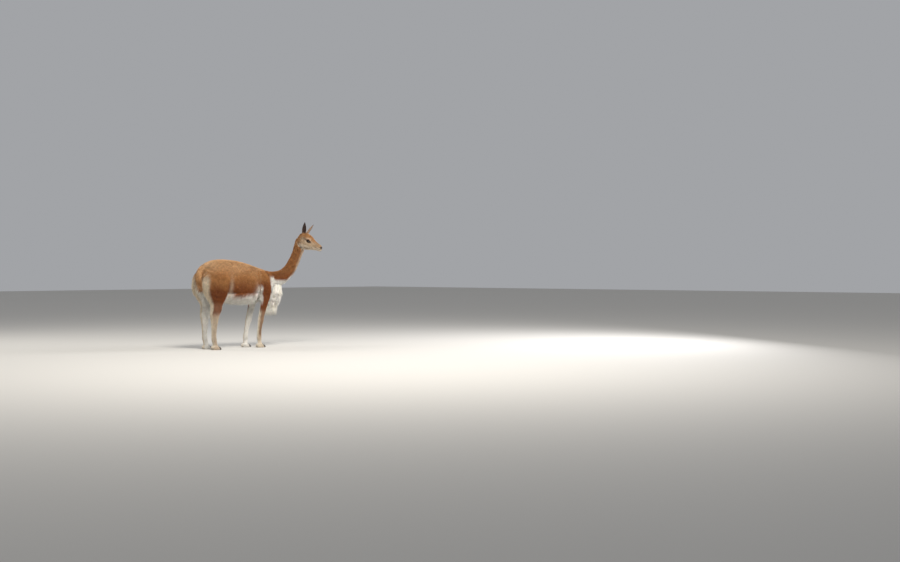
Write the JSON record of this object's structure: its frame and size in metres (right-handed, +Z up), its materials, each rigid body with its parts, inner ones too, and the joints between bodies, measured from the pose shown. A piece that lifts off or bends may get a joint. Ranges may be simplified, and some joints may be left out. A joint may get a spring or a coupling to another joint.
{
  "type": "vicuna model",
  "caption": "Life-size still model of a standing vicuna with cinnamon fleece, a long white chest bib, a slim curved neck turned to its right, upright ears and padded two-toed feet.",
  "frame": {"origin": "on the floor, under the middle of the whole model's plan", "axes": "+X the way the body faces, +Y its left side, +Z up"},
  "size_m": [1.2096, 0.4786, 1.1391],
  "materials": {
    "coat_fawn": "soft woolly fleece, cinnamon",
    "coat_rust": "short dense wool, red-brown",
    "coat_white": "long silky hair, cream white",
    "coat_pale_leg": "short flat hair, pale cream",
    "coat_face": "very short hair, fawn with cream cheeks",
    "ear": "short dark hair",
    "eye": "glossy, near black",
    "nail": "dark horn, dull"
  },
  "bodies": {
    "root": {"torso": "coat_fawn", "chest": "coat_white", "neck_lower": "coat_rust", "neck_upper": "coat_rust", "head": "coat_face", "tail": "coat_fawn", "ear_left": "ear", "ear_right": "ear", "eye_left": "eye", "eye_right": "eye", "hind_leg_left_upper": "coat_rust", "hind_leg_left_lower": "coat_pale_leg", "hind_leg_left_nail_1": "nail", "hind_leg_left_nail_2": "nail", "hind_leg_right_upper": "coat_rust", "hind_leg_right_lower": "coat_pale_leg", "hind_leg_right_nail_1": "nail", "hind_leg_right_nail_2": "nail", "foreleg_left_upper": "coat_rust", "foreleg_left_lower": "coat_pale_leg", "foreleg_left_nail_1": "nail", "foreleg_left_nail_2": "nail", "foreleg_right_upper": "coat_rust", "foreleg_right_lower": "coat_pale_leg", "foreleg_right_nail_1": "nail", "foreleg_right_nail_2": "nail"}
  },
  "joints": []
}
